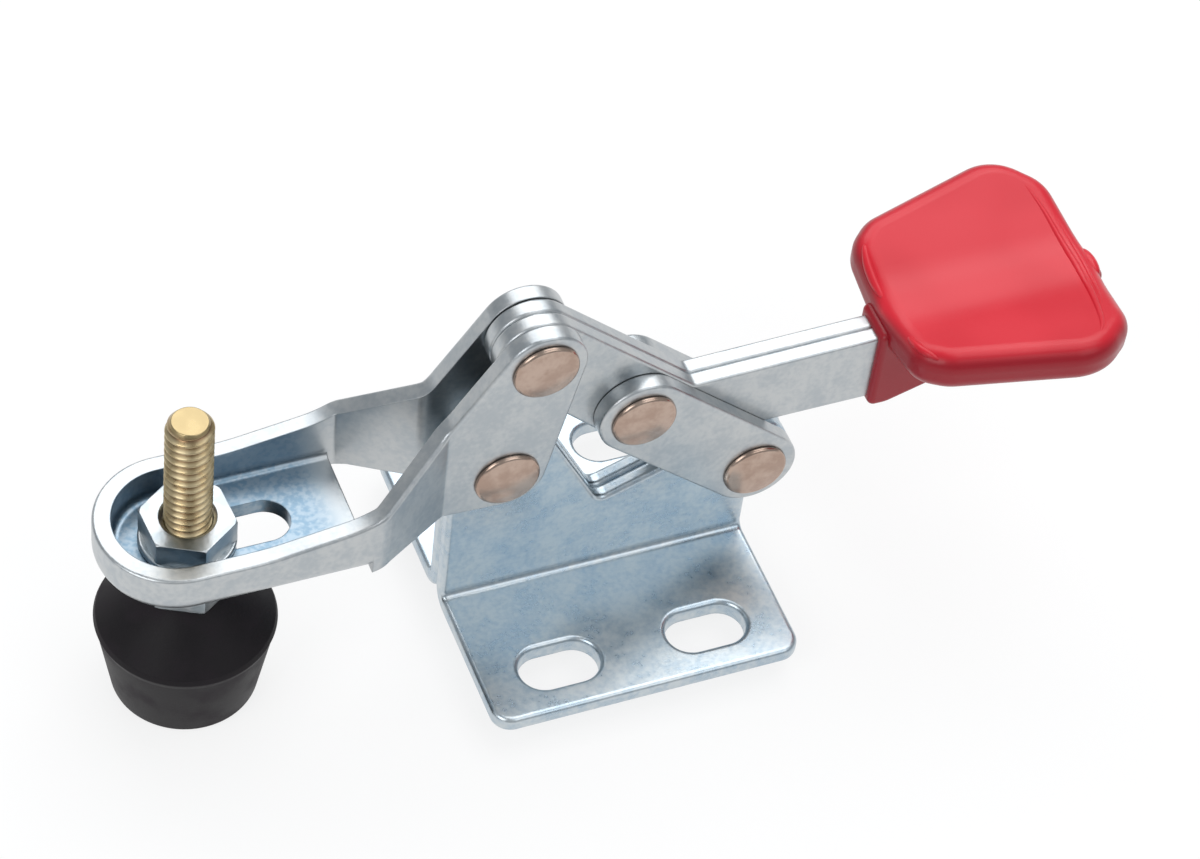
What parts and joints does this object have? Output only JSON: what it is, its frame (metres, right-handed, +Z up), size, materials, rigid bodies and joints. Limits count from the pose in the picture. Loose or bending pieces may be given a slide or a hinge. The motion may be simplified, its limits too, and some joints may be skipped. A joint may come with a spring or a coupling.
{
  "type": "toggle clamp",
  "caption": "Hold-down toggle clamp with a horizontal handle, a slotted U-bar with an adjustable rubber-capped spindle, and a flanged base.",
  "frame": {"origin": "centre of the four base slots, on the underside of the flanges", "axes": "+Z up out of the base, +X from the nose of the bar towards the handle, Y across"},
  "size_m": [0.1413, 0.0494, 0.0575],
  "materials": {
    "zinc": "bright zinc plate, soft sheen",
    "rivet_steel": "warm grey-brown steel",
    "yellow_zinc": "yellow zinc plate",
    "nut_zinc": "bright zinc plate",
    "black_rubber": "matt moulded rubber",
    "red_vinyl": "dipped vinyl, half gloss"
  },
  "bodies": {
    "base": {"base_near": "zinc", "base_far": "zinc", "rivet_base_arm": "rivet_steel"},
    "bar": {"clamp_arm": "zinc", "rivet_arm_handle": "rivet_steel"},
    "handle": {"handle_plate_near": "zinc", "handle_plate_far": "zinc", "grip_cover": "red_vinyl", "rivet_handle_link": "rivet_steel"},
    "links": {"link_near": "zinc", "link_far": "zinc", "rivet_link_base": "rivet_steel"},
    "nuts": {"nut_upper": "nut_zinc", "nut_lower": "nut_zinc", "washer_upper": "nut_zinc", "washer_lower": "nut_zinc"},
    "spindle": {"spindle": "yellow_zinc", "rubber_cap": "black_rubber"}
  },
  "joints": [
    {"name": "bar_lift", "type": "hinge", "parent": "base", "child": "bar", "pos_m": [-0.0155, 0, 0.0283], "axis": [0, 1, 0], "range_deg": [0, 90]},
    {"name": "handle_swing", "type": "hinge", "parent": "bar", "child": "handle", "pos_m": [-0.0118, 0, 0.0482], "axis": [0, -1, 0], "range_deg": [0, 187.27]},
    {"name": "link_fold", "type": "hinge", "parent": "handle", "child": "links", "pos_m": [0.00315, 0, 0.0337], "axis": [0, 1, 0], "range_deg": [0, 135.27]},
    {"name": "spindle_along_slot", "type": "slide", "parent": "bar", "child": "nuts", "axis": [1, 0, 0], "range_m": [-0.0008, 0.01]},
    {"name": "spindle_height", "type": "slide", "parent": "nuts", "child": "spindle", "axis": [0, 0, 1], "range_m": [-0.016, 0]}
  ],
  "couplings": [
    {"joint": "handle_swing", "follows": "bar_lift", "ratio": 2.0802},
    {"joint": "link_fold", "follows": "bar_lift", "ratio": 1.5024}
  ]
}
